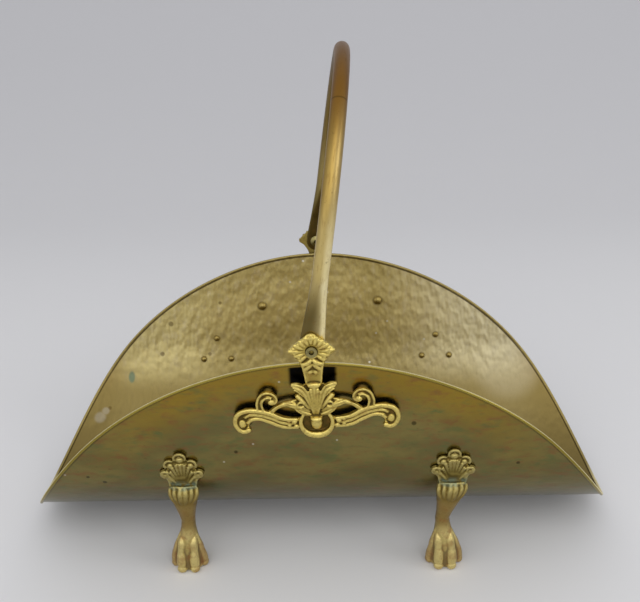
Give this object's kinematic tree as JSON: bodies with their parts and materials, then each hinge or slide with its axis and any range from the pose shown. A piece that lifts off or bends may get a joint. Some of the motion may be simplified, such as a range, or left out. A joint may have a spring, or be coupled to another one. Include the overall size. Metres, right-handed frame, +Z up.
{
  "type": "log holder",
  "caption": "Hearth log holder: an oval sheet bent into an open trough with a rolled rim, on paw feet, with a hoop handle that swings between two scrolled brackets.",
  "frame": {"origin": "on the floor, under the middle of the trough", "axes": "+X along the trough towards its right end, +Y from the front wall to the back wall, +Z up"},
  "size_m": [0.61, 0.299, 0.4908],
  "materials": {
    "hammered_sheet": "hand-hammered sheet, aged satin",
    "cast_brass": "sand cast, rubbed bright on the high spots, dark in the hollows",
    "handle_tube": "drawn tube, satin with handling tarnish",
    "rivets": "snap-set dome heads, aged",
    "rim_wire": "plain drawn iron wire, hidden in the rolled rim"
  },
  "bodies": {
    "basket": {"trough_sheet": "hammered_sheet", "rim_wire": "rim_wire", "foot_front_left": "cast_brass", "foot_front_right": "cast_brass", "foot_back_left": "cast_brass", "foot_back_right": "cast_brass", "foot_rivets_front_left": "rivets", "foot_rivets_front_right": "rivets", "foot_rivets_back_left": "rivets", "foot_rivets_back_right": "rivets", "bracket_front": "cast_brass", "bracket_back": "cast_brass", "bracket_rivets_front": "rivets", "bracket_rivets_back": "rivets", "pivot_pin_front": "rivets", "pivot_pin_back": "rivets"},
    "handle": {"handle": "handle_tube"}
  },
  "joints": [
    {"name": "handle_swing", "type": "hinge", "parent": "basket", "child": "handle", "pos_m": [-0.0014, 0, 0.25086], "axis": [0, 1, 0], "range_deg": [-102, 88]}
  ]
}
